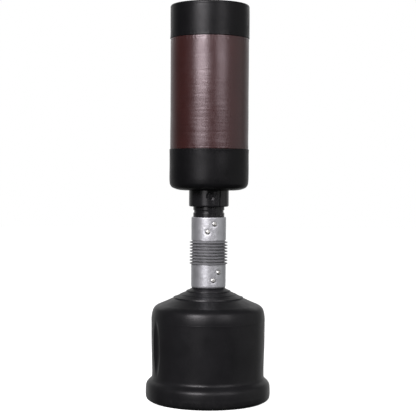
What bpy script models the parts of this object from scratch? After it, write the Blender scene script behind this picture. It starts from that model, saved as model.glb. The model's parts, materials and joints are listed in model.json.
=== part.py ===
"""Free-standing punching bag: a padded bag on a sprung neck that rises from a fillable base.

Metres, +Z up. The origin is on the floor at the centre of the base, and the front faces -Y.
An angle around the neck is counted from the front (-Y) towards the right (+X).
"""
import math

import bmesh
import bpy
from mathutils import Matrix

GAP = 0.0003  # between pieces that touch
STEPS = 28  # around the large turned shapes
BAG_STEPS = 40

# Base tank: a blow-moulded drum with a wide foot and a conical top
BASE_RADIUS = 0.2445
FOOT_HEIGHT = 0.088
DRUM_RADIUS_LOW = 0.2195
DRUM_RADIUS_HIGH = 0.2229
TANK_WALL = 0.005
CONE_TOP_Z = 0.4405
NECK_SOCKET_FLOOR = 0.452
NECK_RADIUS = 0.0654
NECK_WALL = 0.0049
FILL_LEVEL = 0.330

# Handholds: two pointed hollows pressed into the drum's sides
HANDHOLD_ANGLES = (-64, 116)
HANDHOLD_MIDDLE_Z = 0.1975
HANDHOLD_HALF_HEIGHT = 0.0925
HANDHOLD_HALF_WIDTH = 0.028
HANDHOLD_DEPTH = 0.016

# Filler on the back of the cone
FILLER_Y = 0.150
FILLER_RADIUS = 0.024
FILLER_BORE = 0.019
FILLER_TOP = 0.423
FILLER_ROOT = 0.375  # below the cone's outside, above its inside
FILLER_STEPS = 20
CAP_RADIUS = 0.030
CAP_BORE = 0.025
CAP_SKIRT = 0.012  # how far the cap reaches below the spout's top
CAP_ROOF = (0.0026, 0.0070)  # underside and top, above the spout's top
SEAL_THICKNESS = 0.0022

# Sprung neck, the same above and below the pivot
PIVOT_Z = 0.580
SLEEVE_RADIUS = 0.068
SLEEVE_WALL = 0.002
LOWER_SLEEVE = (0.443, 0.533)
UPPER_SLEEVE = (0.627, 0.718)
SOCKET_INSET = 0.011  # from a sleeve's end to the plastic inside it
CUP_RADIUS = 0.0602
CUP_WALL = 0.0025
CUP_LENGTH = 0.071
CUP_SEAT = 0.061  # from the pivot to the face that the spring stands on
CUP_LIP = 0.008  # how far the cup's rim and hub stand past its seat
CUP_BORE = 0.030
CUP_PLATE = 0.003
SPRING_RADIUS = 0.047
SPRING_WIRE = 0.010
SPRING_TURNS = 7
FIN_COUNT = 8
FIN_PITCH = 0.0118
FIN_TIP_RADIUS = 0.0752
FIN_VALLEY_RADIUS = 0.0682
TOP_FIN_Z = 0.6188
BELLOWS_WALL = 0.0018
BELLOWS_CUFF = 0.009  # how far a cuff reaches into its sleeve

# Bolts through each sleeve: (angle in degrees, height), repeated on the far side
LOWER_BOLTS = ((14.7, 0.473), (35.3, 0.5035))
UPPER_BOLTS = ((-3.0, 0.6615), (18.5, 0.692))
BOLT_SHANK = 0.004
BOLT_HEAD = 0.0095
BOLT_LENGTH = 0.0165
BOLT_HOLE = 0.0046
NUT_ACROSS_FLATS = 0.013
NUT_THICKNESS = 0.005
NUT_FACE = 0.0565  # radius of the face that bears on the cup's inside

# Post: the moulded tube that carries the bag, with a bayonet track cut into it
POST_RADIUS = 0.0613
POST_WALL = 0.0053
POST_TOP = 1.050
TRACK_DEPTH = 0.0032
TRACK_HEIGHT = 0.010
TRACK_LEVELS = (0.740, 0.775)
ENTRY_SLOT = (34.0, 51.2)  # degrees
ENTRY_SLOT_BOTTOM = 0.724
TRACK_END = 178.0  # degrees
LUG_HALF_HEIGHT = 0.004
LUG_WIDTH = 14  # degrees

# Bag
COLLAR_RADIUS = 0.0783
COLLAR_BOTTOM = 0.7585
BAG_BOTTOM = 0.823
BAG_TOP = 1.550
LOWER_BAND_TOP = 0.984
UPPER_BAND_BOTTOM = 1.417
BAND_RADIUS_LOW = 0.156
BAND_RADIUS_HIGH = 0.1555
PANEL_RADIUS = 0.154
COVER = 0.002
TUBE_RADIUS = 0.0665
TUBE_WALL = 0.004
TUBE_BOTTOM = 0.7855
TUBE_TOP = 1.500
TUBE_CAP_SKIRT = 0.025
PLATE_RADIUS = 0.105
PLATE_THICKNESS = 0.009
SCREW_SHANK = 0.0022
SCREW_HOLE = 0.0026
SCREW_REACH = 0.020  # how far a collar screw goes into the collar
CORNER_BOTTOM = ((0, 0.035), (0.005, 0.016), (0.020, 0.004), (0.050, 0.0))  # (inwards, up)
CORNER_TOP = 0.010

for old in list(bpy.data.objects):
    bpy.data.objects.remove(old, do_unlink=True)
parts = bpy.data.collections.new("free_standing_punching_bag")
cutters = bpy.data.collections.new("cutters")
for collection in (parts, cutters):
    bpy.context.scene.collection.children.link(collection)


def material(name, colour, roughness, metallic=0.0):
    found = bpy.data.materials.get(name)
    if found:
        return found
    made = bpy.data.materials.new(name)
    made.use_nodes = True
    shader = made.node_tree.nodes["Principled BSDF"]
    shader.inputs["Base Color"].default_value = (*colour, 1)
    shader.inputs["Roughness"].default_value = roughness
    shader.inputs["Metallic"].default_value = metallic
    made.diffuse_color = (*colour, 1)
    return made


def add(obj, finish=None, parent=None):
    """Puts an object among the parts, or among the cutters if it has no finish."""
    if finish:
        parts.objects.link(obj)
        obj.data.materials.append(finish)
    else:
        cutters.objects.link(obj)
        obj.hide_render = True
        obj.display_type = "WIRE"
    if parent:
        obj.parent = parent
        obj.matrix_parent_inverse = parent.matrix_world.inverted()
    return obj


def pivot(name, location):
    empty = bpy.data.objects.new(name, None)
    empty.location = location
    parts.objects.link(empty)
    bpy.context.view_layer.update()
    return empty


def turned(name, outline, finish=None, parent=None, steps=STEPS, centre=(0, 0, 0), closed=False):
    """A turned shape. Its (radius, height) outline runs down the outer side and up the inner one."""
    mesh = bpy.data.meshes.new(name)
    points = [(r, 0, z) for r, z in outline]
    edges = [(i, i + 1) for i in range(len(points) - 1)]
    if closed:
        edges.append((len(points) - 1, 0))
    mesh.from_pydata(points, edges, [])
    obj = bpy.data.objects.new(name, mesh)
    obj.location = centre
    screw = obj.modifiers.new("turn", "SCREW")
    screw.steps = screw.render_steps = steps
    screw.use_merge_vertices = True
    screw.merge_threshold = 0.00001
    screw.use_smooth_shade = True
    return add(obj, finish, parent)


def ring(outer, inner, low, high):
    """The outline of a plain ring or tube."""
    return [(outer, high), (outer, low), (inner, low), (inner, high)]


def prism(name, outline, low, high, finish=None, parent=None):
    """A flat outline standing between two heights."""
    curve = bpy.data.curves.new(name, "CURVE")
    curve.dimensions = "2D"
    curve.fill_mode = "BOTH"
    curve.extrude = (high - low) / 2
    spline = curve.splines.new("POLY")
    spline.points.add(len(outline) - 1)
    for point, (x, y) in zip(spline.points, outline):
        point.co = (x, y, 0, 1)
    spline.use_cyclic_u = True
    drawn = bpy.data.objects.new(name + "_outline", curve)
    cutters.objects.link(drawn)
    graph = bpy.context.evaluated_depsgraph_get()
    mesh = bpy.data.meshes.new_from_object(drawn.evaluated_get(graph))
    bpy.data.objects.remove(drawn)
    shape = bmesh.new()
    shape.from_mesh(mesh)
    bmesh.ops.remove_doubles(shape, verts=shape.verts, dist=0.00001)
    bmesh.ops.translate(shape, verts=shape.verts, vec=(0, 0, (low + high) / 2))
    bmesh.ops.recalc_face_normals(shape, faces=shape.faces)
    shape.to_mesh(mesh)
    shape.free()
    return add(bpy.data.objects.new(name, mesh), finish, parent)


def around(radius, angle):
    """(x, y) at a radius and an angle in degrees, from the front towards the right."""
    return radius * math.sin(math.radians(angle)), -radius * math.cos(math.radians(angle))


def sector(outer, inner, start, end):
    """The flat outline of a piece of a ring between two angles."""
    steps = max(2, round(abs(end - start) / 9))
    angles = [start + (end - start) * i / steps for i in range(steps + 1)]
    return [around(outer, a) for a in angles] + [around(inner, a) for a in reversed(angles)]


def drill_bit(name, radius, high, low, centre=(0, 0, 0), steps=8):
    return turned(name, [(0, high), (radius, high), (radius, low), (0, low)], steps=steps, centre=centre)


def combine(target, other, operation="DIFFERENCE"):
    boolean = target.modifiers.new(other.name, "BOOLEAN")
    boolean.operation = operation
    boolean.solver = "EXACT"
    boolean.object = other


def placed_radially(obj, angle, height, radius):
    """Turns an object so that its +Z points away from the neck's axis, and puts it at a radius."""
    outward = math.radians(angle - 90)
    obj.matrix_world = (
        Matrix.Translation((0, 0, height))
        @ Matrix.Rotation(outward, 4, "Z")
        @ Matrix.Translation((radius, 0, 0))
        @ Matrix.Rotation(math.pi / 2, 4, "Y")
    )


def inset(outline, distance):
    """The outline moved inwards, where its outer side runs from top to bottom."""
    moved = []
    for i, (r, z) in enumerate(outline):
        before = outline[max(i - 1, 0)]
        after = outline[min(i + 1, len(outline) - 1)]
        along_r, along_z = after[0] - before[0], after[1] - before[1]
        length = math.hypot(along_r, along_z)
        moved.append((max(r + distance * along_z / length, 0), z - distance * along_r / length))
    return moved


def tank_outline():
    """The tank's outside from the foot of its neck down to the middle of its underside."""
    cone = [(0.0700, CONE_TOP_Z), (0.1007, 0.417), (0.1634, 0.384), (0.2040, 0.367)]
    shoulder = [(0.2155, 0.357), (0.2210, 0.343), (DRUM_RADIUS_HIGH, 0.326)]
    drum = [(DRUM_RADIUS_HIGH, 0.310), (DRUM_RADIUS_LOW, 0.105)]
    foot = [(0.2208, 0.094), (0.2275, FOOT_HEIGHT - 0.006), (0.2375, 0.072), (0.2432, 0.058)]
    rim = [(BASE_RADIUS, 0.045), (BASE_RADIUS, 0.024), (0.2405, 0.009), (0.2280, 0.0)]
    underside = [(0.120, 0.0), (0.112, 0.006), (0.0, 0.006)]
    return cone + shoulder + drum + foot + rim + underside


def handhold_cutter(name, angle, margin=0.0):
    """A spindle standing outside the drum's wall, whose inner side presses a pointed hollow into it."""
    wall = (DRUM_RADIUS_LOW + DRUM_RADIUS_HIGH) / 2
    # the spindle's waist, from the hollow's half width and depth
    waist = (HANDHOLD_HALF_WIDTH**2 + HANDHOLD_DEPTH**2) / (2 * HANDHOLD_DEPTH)
    axis = wall + waist - HANDHOLD_DEPTH
    arc = (HANDHOLD_HALF_HEIGHT**2 + HANDHOLD_DEPTH**2) / (2 * HANDHOLD_DEPTH)
    reach = 1.2 * HANDHOLD_HALF_HEIGHT
    outline = [(0, reach)]
    for i in range(7):
        z = reach * (1 - i / 3)
        outline.append((waist + margin - arc + math.sqrt(arc**2 - z**2), z))
    outline.append((0, -reach))
    x, y = around(axis, angle)
    return turned(name, outline, steps=14, centre=(x, y, HANDHOLD_MIDDLE_Z))


def make_tank(plastic):
    """The hollow tank with the socket for the spring's cup and the filler spout."""
    outside = tank_outline()
    neck_top = LOWER_SLEEVE[1] - SOCKET_INSET
    socket = NECK_RADIUS - NECK_WALL
    neck = [(0, NECK_SOCKET_FLOOR), (socket, NECK_SOCKET_FLOOR), (socket, neck_top)]
    neck += [(NECK_RADIUS, neck_top), (NECK_RADIUS, CONE_TOP_Z)]
    tank = turned("base_tank", neck + outside, plastic)
    inside = inset(outside[1:], TANK_WALL)
    roof_z = CONE_TOP_Z - TANK_WALL + 0.001
    roof = [(0, roof_z), (socket - TANK_WALL, roof_z)]
    hollow = turned("tank_hollow", roof + inside[:-1] + [(0, inside[-1][1])])
    middle = (0, FILLER_Y, 0)
    spout = drill_bit("filler_spout", FILLER_RADIUS, FILLER_TOP, FILLER_ROOT, middle, FILLER_STEPS)
    high, low = FILLER_TOP + 0.017, FILLER_ROOT - 0.015
    bore = drill_bit("filler_bore", FILLER_BORE, high, low, middle, FILLER_STEPS)
    for angle in HANDHOLD_ANGLES:
        combine(hollow, handhold_cutter(f"handhold_inside_{angle}", angle, TANK_WALL))
        combine(tank, handhold_cutter(f"handhold_{angle}", angle))
    combine(tank, hollow)
    combine(tank, spout, "UNION")
    combine(tank, bore)
    return tank


def make_ballast(water):
    """The water that weighs the tank down, with a small gap to the tank's inside."""
    margin = TANK_WALL + 0.0005
    filling = [p for p in inset(tank_outline(), margin) if p[1] < FILL_LEVEL]
    level = [(0, FILL_LEVEL), (DRUM_RADIUS_HIGH - margin - GAP, FILL_LEVEL)]
    ballast = turned("water_ballast", level + filling[:-1] + [(0, filling[-1][1])], water)
    for angle in HANDHOLD_ANGLES:
        combine(ballast, handhold_cutter(f"handhold_water_{angle}", angle, margin))


def make_filler_cap(plastic, rubber, parent):
    middle = (0, FILLER_Y, 0)
    seal = ring(FILLER_RADIUS, FILLER_BORE + 0.001, FILLER_TOP + GAP, FILLER_TOP + SEAL_THICKNESS)
    turned("fill_cap_seal", seal, rubber, parent, FILLER_STEPS, middle, True)
    roof, top = (FILLER_TOP + height for height in CAP_ROOF)
    skirt = FILLER_TOP - CAP_SKIRT
    cap = [(0, top), (CAP_RADIUS - 0.001, top), (CAP_RADIUS, top - 0.001), (CAP_RADIUS, skirt)]
    cap += [(CAP_BORE, skirt), (CAP_BORE, roof), (0, roof)]
    turned("fill_cap", cap, plastic, parent, FILLER_STEPS, middle)


def make_cup(name, side, steel, parent):
    """A steel cup with the spring's seat; side is -1 below the pivot and 1 above it."""
    seat, lip = CUP_SEAT, CUP_SEAT - CUP_LIP
    open_end = lip + CUP_LENGTH
    bore, hub = CUP_BORE, SPRING_RADIUS - SPRING_WIRE / 2 - 0.003
    inner = CUP_RADIUS - CUP_WALL
    outline = [
        (CUP_RADIUS, lip), (CUP_RADIUS, open_end), (inner, open_end), (inner, seat + CUP_PLATE),
        (bore, seat + CUP_PLATE), (bore, lip), (hub, lip), (hub, seat), (inner, seat), (inner, lip),
    ]
    if side > 0:
        outline.reverse()
    heights = [(r, PIVOT_Z + side * z) for r, z in outline]
    return turned(name, heights, steel, parent, closed=True)


def make_spring(steel, parent):
    """A compression spring with a closed turn at each end, from cup to cup."""
    dead_rise = SPRING_WIRE + 0.0006
    low = PIVOT_Z - CUP_SEAT + GAP + SPRING_WIRE / 2
    high = PIVOT_Z + CUP_SEAT - GAP - SPRING_WIRE / 2
    live_rise = (high - low - 2 * dead_rise) / (SPRING_TURNS - 2)
    per_turn = 10
    curve = bpy.data.curves.new("coil_spring", "CURVE")
    curve.dimensions = "3D"
    curve.bevel_depth = SPRING_WIRE / 2
    curve.bevel_resolution = 2
    curve.use_fill_caps = True
    spline = curve.splines.new("POLY")
    spline.points.add(SPRING_TURNS * per_turn)
    for i, point in enumerate(spline.points):
        turn = i / per_turn
        live = min(max(turn - 1, 0), SPRING_TURNS - 2)
        height = low + dead_rise * (turn - live) + live_rise * live
        angle = 2 * math.pi * turn
        x, y = SPRING_RADIUS * math.cos(angle), SPRING_RADIUS * math.sin(angle)
        point.co = (x, y, height, 1)
    add(bpy.data.objects.new("coil_spring", curve), steel, parent)


def make_bellows(rubber, parent):
    """A ribbed gaiter whose cuffs tuck inside the two sleeves."""
    play = 2 * GAP
    cuff = SLEEVE_RADIUS - SLEEVE_WALL - play
    top, bottom = UPPER_SLEEVE[0], LOWER_SLEEVE[1]
    outside = [(cuff, top + BELLOWS_CUFF), (cuff, top - play)]
    for fin in range(FIN_COUNT):
        height = TOP_FIN_Z - fin * FIN_PITCH
        outside += [(FIN_VALLEY_RADIUS, height + FIN_PITCH / 2), (FIN_TIP_RADIUS, height)]
    outside += [(cuff, bottom + play), (cuff, bottom - BELLOWS_CUFF)]
    inside = [(r - BELLOWS_WALL, z) for r, z in reversed(outside)]
    turned("bellows", outside + inside, rubber, parent, 24, closed=True)


def make_sleeve(name, span, finish, parent):
    low, high = span
    wall = SLEEVE_RADIUS - SLEEVE_WALL
    outline = [(SLEEVE_RADIUS, high - 0.001), (SLEEVE_RADIUS, low + 0.001)]
    outline += [(SLEEVE_RADIUS - 0.001, low), (wall, low), (wall, high), (SLEEVE_RADIUS - 0.001, high)]
    return turned(name, outline, finish, parent, closed=True)


def make_bolts(prefix, places, drilled, bright, zinc, parent):
    """Domed bolts through a sleeve, the plastic inside it and the cup, each with its nut."""
    dome = [(0, 0.0052), (0.0045, 0.0044), (0.0080, 0.0026), (BOLT_HEAD, 0)]
    shank = [(BOLT_SHANK, 0), (BOLT_SHANK, -BOLT_LENGTH), (0, -BOLT_LENGTH)]
    corner = NUT_ACROSS_FLATS / 2 / math.cos(math.pi / 6)
    hexagon = [around(corner, 60 * k) for k in range(6)]
    head_seat = SLEEVE_RADIUS + GAP
    holes = [(angle + far, height) for far in (0, 180) for angle, height in places]
    for number, (angle, height) in enumerate(holes, 1):
        bolt = turned(f"{prefix}_bolt_{number}", dome + shank, bright, steps=10)
        placed_radially(bolt, angle, height, head_seat)
        drill = drill_bit(f"{prefix}_drill_{number}", BOLT_HOLE, 0.02, -0.02)
        placed_radially(drill, angle, height, head_seat)
        for piece in drilled:
            combine(piece, drill)
        nut = prism(f"{prefix}_nut_{number}", hexagon, -NUT_THICKNESS, 0, zinc)
        placed_radially(nut, angle, height, NUT_FACE)
        tap = drill_bit(f"{prefix}_tap_{number}", BOLT_HOLE, 0.01, -0.01)
        placed_radially(tap, angle, height, NUT_FACE)
        combine(nut, tap)
        for piece in (bolt, nut):
            piece.parent = parent
            if parent:
                piece.matrix_parent_inverse = parent.matrix_world.inverted()


def make_post(plastic, parent):
    """A stepped tube: its wide end is bolted in the upper sleeve, and the bag slides over the rest."""
    low, shoulder = UPPER_SLEEVE[0] + SOCKET_INSET, UPPER_SLEEVE[1] - 0.002
    socket = NECK_RADIUS - NECK_WALL
    bore = POST_RADIUS - POST_WALL
    outline = [
        (POST_RADIUS - 0.002, POST_TOP), (POST_RADIUS, POST_TOP - 0.004), (POST_RADIUS, shoulder),
        (NECK_RADIUS, shoulder - 0.002), (NECK_RADIUS, low), (socket, low), (socket, shoulder - 0.007),
        (bore, shoulder - 0.001), (bore, POST_TOP),
    ]
    post = turned("post", outline, plastic, parent, closed=True)
    floor = POST_RADIUS - TRACK_DEPTH
    for half in (0, 180):
        start, end = ENTRY_SLOT[0] + half, ENTRY_SLOT[1] + half
        slot = sector(POST_RADIUS + 0.004, floor, start, end)
        combine(post, prism(f"entry_slot_{half}", slot, ENTRY_SLOT_BOTTOM, POST_TOP + 0.01))
        for level in TRACK_LEVELS:
            track = sector(POST_RADIUS + 0.004, floor + 0.0001, start + 8, TRACK_END + half)
            low_side, high_side = level - TRACK_HEIGHT / 2, level + TRACK_HEIGHT / 2
            combine(post, prism(f"track_{half}_{level}", track, low_side, high_side))
    return post


def make_collar(plastic, parent):
    """The bag's moulded collar, whose two lugs run in the post's bayonet track."""
    seat = TUBE_RADIUS + GAP
    bore = POST_RADIUS + 0.0005
    top = BAG_BOTTOM - GAP
    outline = [
        (COLLAR_RADIUS, top), (COLLAR_RADIUS, COLLAR_BOTTOM + 0.006),
        (COLLAR_RADIUS - 0.0018, COLLAR_BOTTOM + 0.0018), (COLLAR_RADIUS - 0.006, COLLAR_BOTTOM),
        (bore, COLLAR_BOTTOM), (bore, TUBE_BOTTOM - GAP), (seat, TUBE_BOTTOM - GAP), (seat, top),
    ]
    collar = turned("collar", outline, plastic, parent, closed=True)
    level = TRACK_LEVELS[1]
    for half in (0, 180):
        end = TRACK_END + half - 1
        lug = sector(bore + 0.002, POST_RADIUS - TRACK_DEPTH + 0.0005, end - LUG_WIDTH, end)
        low, high = level - LUG_HALF_HEIGHT, level + LUG_HALF_HEIGHT
        combine(collar, prism(f"lug_{half}", lug, low, high), "UNION")
    return collar


def make_bag(collar, foam, board, card, zinc, vinyl, leather, parent):
    tube = ring(TUBE_RADIUS, TUBE_RADIUS - TUBE_WALL, TUBE_BOTTOM, TUBE_TOP)
    turned("core_tube", tube, card, parent, closed=True)
    plug = TUBE_RADIUS - TUBE_WALL - 0.0005
    rim, top, skirt = TUBE_TOP + GAP, TUBE_TOP + 0.006, TUBE_TOP - TUBE_CAP_SKIRT
    cap = [(0, top), (TUBE_RADIUS, top), (TUBE_RADIUS, rim), (plug, rim)]
    cap += [(plug, skirt), (plug - 0.003, skirt), (plug - 0.003, top - 0.004), (0, top - 0.004)]
    turned("core_top_cap", cap, board, parent)

    plate_low = BAG_BOTTOM + COVER + GAP
    plate_high = plate_low + PLATE_THICKNESS
    opening = TUBE_RADIUS + 0.001
    disc = ring(PLATE_RADIUS, opening, plate_low, plate_high)
    plate = turned("bag_bottom_plate", disc, board, parent, closed=True)
    screw_radius = (COLLAR_RADIUS + TUBE_RADIUS) / 2
    tip = BAG_BOTTOM - SCREW_REACH
    head = [(0, plate_high + 0.0035), (0.0030, plate_high + 0.0030), (0.0040, plate_high + GAP)]
    shank = [(SCREW_SHANK, plate_high + GAP), (SCREW_SHANK, tip + 0.002), (0, tip)]
    bottom_cover = make_covers(vinyl, leather, parent)
    for number in range(4):
        x, y = around(screw_radius, 45 + 90 * number)
        turned(f"collar_screw_{number + 1}", head + shank, zinc, parent, 8, (x, y, 0))
        drill = drill_bit(f"screw_hole_{number + 1}", SCREW_HOLE, plate_high + 0.01, tip - 0.002, (x, y, 0))
        for piece in (collar, plate, bottom_cover):
            combine(piece, drill)

    side = PANEL_RADIUS - COVER - 0.0015
    foam_low, foam_top = plate_high + 0.0045, top + 0.002
    body = [
        (side, foam_top), (side, foam_low + 0.026), (side - 0.012, foam_low + 0.008),
        (side - 0.034, foam_low), (opening, foam_low), (opening, foam_top),
    ]
    turned("foam_body", body, foam, parent, BAG_STEPS, closed=True)
    pad_low, pad_top = foam_top + 0.0005, BAG_TOP - COVER - GAP
    lid = [(0, pad_top), (side - 0.008, pad_top)]
    lid += [(side, BAG_TOP - CORNER_TOP), (side, pad_low), (0, pad_low)]
    turned("foam_top_pad", lid, foam, parent, BAG_STEPS)


def make_covers(vinyl, leather, parent):
    """The three sewn sections of the bag's skin. Returns the bottom one."""
    panel = ring(PANEL_RADIUS, PANEL_RADIUS - COVER, LOWER_BAND_TOP + GAP, UPPER_BAND_BOTTOM - GAP)
    turned("cover_middle", panel, leather, parent, BAG_STEPS, closed=True)
    high, side_top = BAND_RADIUS_HIGH, BAG_TOP - CORNER_TOP
    top = [
        (0, BAG_TOP), (high - CORNER_TOP, BAG_TOP), (high - 0.003, BAG_TOP - 0.003), (high, side_top),
        (high, UPPER_BAND_BOTTOM), (high - COVER, UPPER_BAND_BOTTOM), (high - COVER, side_top),
        (high - 0.0045, BAG_TOP - 0.0045), (high - 0.011, BAG_TOP - COVER), (0, BAG_TOP - COVER),
    ]
    turned("cover_top", top, vinyl, parent, BAG_STEPS)
    low, opening = BAND_RADIUS_LOW, TUBE_RADIUS + 0.001
    outer = [(low - inwards, BAG_BOTTOM + up) for inwards, up in CORNER_BOTTOM]
    inner = [(r - COVER * 0.9, z + COVER * 0.9) for r, z in outer[:-1]]
    inner.append((outer[-1][0], BAG_BOTTOM + COVER))
    bottom = [(low, LOWER_BAND_TOP)] + outer + [(opening, BAG_BOTTOM), (opening, BAG_BOTTOM + COVER)]
    bottom += list(reversed(inner)) + [(low - COVER, LOWER_BAND_TOP)]
    return turned("cover_bottom", bottom, vinyl, parent, BAG_STEPS, closed=True)


def main():
    black_plastic = material("black_plastic", (0.015, 0.015, 0.016), 0.45)
    water = material("water", (0.25, 0.35, 0.38), 0.05)
    cap_plastic = material("cap_plastic", (0.012, 0.012, 0.013), 0.5)
    rubber = material("seal_rubber", (0.02, 0.02, 0.02), 0.8)
    silver = material("silver_paint", (0.36, 0.36, 0.39), 0.4, 0.5)
    bright = material("bright_zinc", (0.7, 0.7, 0.68), 0.2, 1.0)
    steel = material("spring_steel", (0.2, 0.2, 0.21), 0.45, 0.9)
    grey_rubber = material("grey_rubber", (0.16, 0.16, 0.17), 0.5)
    card = material("tube_card", (0.40, 0.30, 0.20), 0.9)
    board = material("board", (0.35, 0.24, 0.14), 0.8)
    foam = material("foam", (0.45, 0.45, 0.47), 0.95)
    vinyl = material("black_vinyl", (0.012, 0.012, 0.014), 0.42)
    leather = material("brown_leather", (0.055, 0.022, 0.020), 0.38)

    lift = pivot("fill_cap_axis", (0, FILLER_Y, FILLER_TOP))
    sway = pivot("sway_axis", (0, 0, PIVOT_Z))
    twist = pivot("bag_axis", (0, 0, TRACK_LEVELS[1]))
    twist.parent = sway
    twist.matrix_parent_inverse = sway.matrix_world.inverted()

    tank = make_tank(black_plastic)
    make_ballast(water)
    make_filler_cap(cap_plastic, rubber, lift)
    lower_sleeve = make_sleeve("lower_sleeve", LOWER_SLEEVE, silver, None)
    lower_cup = make_cup("lower_spring_cup", -1, steel, None)
    make_bolts("lower", LOWER_BOLTS, (lower_sleeve, tank, lower_cup), bright, steel, None)
    make_spring(steel, sway)
    make_bellows(grey_rubber, sway)
    upper_sleeve = make_sleeve("upper_sleeve", UPPER_SLEEVE, silver, sway)
    upper_cup = make_cup("upper_spring_cup", 1, steel, sway)
    post = make_post(black_plastic, sway)
    make_bolts("upper", UPPER_BOLTS, (upper_sleeve, post, upper_cup), bright, steel, sway)
    collar = make_collar(black_plastic, twist)
    make_bag(collar, foam, board, card, steel, vinyl, leather, twist)


main()
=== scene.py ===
"""Looks of the free-standing punching bag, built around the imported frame.

Metres, +Z up, the front faces -Y. Angles are in degrees from the front (-Y) towards the right (+X).
"""
import json
import math

import bmesh
import bpy
import numpy as np
from mathutils import Matrix, Vector

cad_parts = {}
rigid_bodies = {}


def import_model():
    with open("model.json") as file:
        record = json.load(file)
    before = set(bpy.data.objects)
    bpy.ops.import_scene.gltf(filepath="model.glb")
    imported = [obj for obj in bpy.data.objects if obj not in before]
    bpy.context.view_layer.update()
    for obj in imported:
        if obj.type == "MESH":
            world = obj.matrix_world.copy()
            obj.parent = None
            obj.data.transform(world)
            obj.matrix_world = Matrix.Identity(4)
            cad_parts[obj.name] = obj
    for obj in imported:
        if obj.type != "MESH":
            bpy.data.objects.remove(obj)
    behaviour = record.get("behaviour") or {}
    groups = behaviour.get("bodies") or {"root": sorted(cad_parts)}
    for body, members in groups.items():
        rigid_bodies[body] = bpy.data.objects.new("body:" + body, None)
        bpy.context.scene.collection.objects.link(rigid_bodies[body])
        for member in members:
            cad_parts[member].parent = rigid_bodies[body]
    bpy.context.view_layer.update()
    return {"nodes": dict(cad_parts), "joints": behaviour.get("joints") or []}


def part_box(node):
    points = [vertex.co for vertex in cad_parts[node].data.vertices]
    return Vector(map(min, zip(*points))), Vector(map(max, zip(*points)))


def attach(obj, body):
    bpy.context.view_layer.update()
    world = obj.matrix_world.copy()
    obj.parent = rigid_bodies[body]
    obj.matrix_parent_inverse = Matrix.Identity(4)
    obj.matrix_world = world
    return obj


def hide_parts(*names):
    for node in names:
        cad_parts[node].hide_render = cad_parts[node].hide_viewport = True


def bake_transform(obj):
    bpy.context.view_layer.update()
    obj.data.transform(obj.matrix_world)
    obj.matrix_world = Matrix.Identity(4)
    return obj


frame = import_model()


# ---------------- places, read from the frame

def radius_of(node):
    low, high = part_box(node)
    return (high.x - low.x) / 2


def span_of(node):
    """(bottom, top) of a node."""
    low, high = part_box(node)
    return low.z, high.z


def joint_place(name):
    found = [joint for joint in frame["joints"] if joint["name"] == name]
    return Vector(found[0]["pos_m"])


BASE_R = radius_of("base_tank")
NECK_TOP = span_of("base_tank")[1]
SLEEVE_R = radius_of("lower_sleeve")
LOWER_SLEEVE = span_of("lower_sleeve")
UPPER_SLEEVE = span_of("upper_sleeve")
FIN_R = radius_of("bellows")
POST = span_of("post")
COLLAR_R = radius_of("collar")
COLLAR = span_of("collar")
PANEL_R = radius_of("cover_middle")
PANEL = span_of("cover_middle")
LOW_BAND_R = radius_of("cover_bottom")
LOW_BAND = span_of("cover_bottom")
HIGH_BAND_R = radius_of("cover_top")
HIGH_BAND = span_of("cover_top")
TUBE_R = radius_of("core_tube")
CAP_R = radius_of("fill_cap")
CAP = span_of("fill_cap")
TRACK = joint_place("bag_twist").z
FILLER = joint_place("fill_cap_turn")


# ---------------- mesh tools

SHARP = 40  # degrees between two faces from which their edge stays sharp


def around(radius, angle):
    """(x, y) at a radius and an angle in degrees, from the front towards the right."""
    return radius * math.sin(math.radians(angle)), -radius * math.cos(math.radians(angle))


def smoothstep(low, high, value):
    t = np.clip((value - low) / (high - low), 0, 1)
    return t * t * (3 - 2 * t)


def bell(value, width):
    """1 where a value is zero, falling off smoothly to 0 within a few widths."""
    return np.exp(-(value / width) ** 2)


def turn_between(angles, middle):
    """Signed angle from a middle direction, in degrees, from -180 to 180."""
    return (angles - middle + 180) % 360 - 180


def waves(seed, count, across, along):
    """A smooth wavy function of (angle in degrees, height), about -1 to 1, seamless around.

    across is the highest count of waves around the turn, and along the shortest wave in metres.
    """
    draw = np.random.default_rng(seed)
    around_counts = draw.integers(0, across + 1, count)
    along_rates = draw.uniform(-1, 1, count) * 2 * np.pi / along
    phases = draw.uniform(0, 2 * np.pi, count)

    def value(angles, heights):
        total = 0
        for turns, rate, phase in zip(around_counts, along_rates, phases):
            total = total + np.sin(np.radians(angles) * turns + heights * rate + phase)
        return total / math.sqrt(count)

    return value


def rounded(corners, steps=5):
    """An outline whose (radius, height, fillet) corners are rounded off."""
    points = []
    for i, (r, z, fillet) in enumerate(corners):
        here = np.array((r, z))
        if fillet == 0:
            points.append(tuple(here))
            continue
        before = np.array(corners[i - 1][:2]) - here
        after = np.array(corners[(i + 1) % len(corners)][:2]) - here
        start = here + before / np.linalg.norm(before) * fillet
        end = here + after / np.linalg.norm(after) * fillet
        for t in np.linspace(0, 1, steps):
            # a quadratic curve that leaves and meets the straight runs in line
            point = (1 - t) ** 2 * start + 2 * t * (1 - t) * here + t ** 2 * end
            points.append(tuple(point))
    return points


def refined(outline, step, closed=False):
    """The outline with extra points, so that no run is longer than a step."""
    ends = outline[1:] + outline[:1] if closed else outline[1:]
    points = []
    for a, b in zip(outline, ends):
        count = max(1, math.ceil(math.dist(a, b) / step))
        for i in range(count):
            points.append(tuple(p + (q - p) * i / count for p, q in zip(a, b)))
    return points if closed else points + [outline[-1]]


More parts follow.
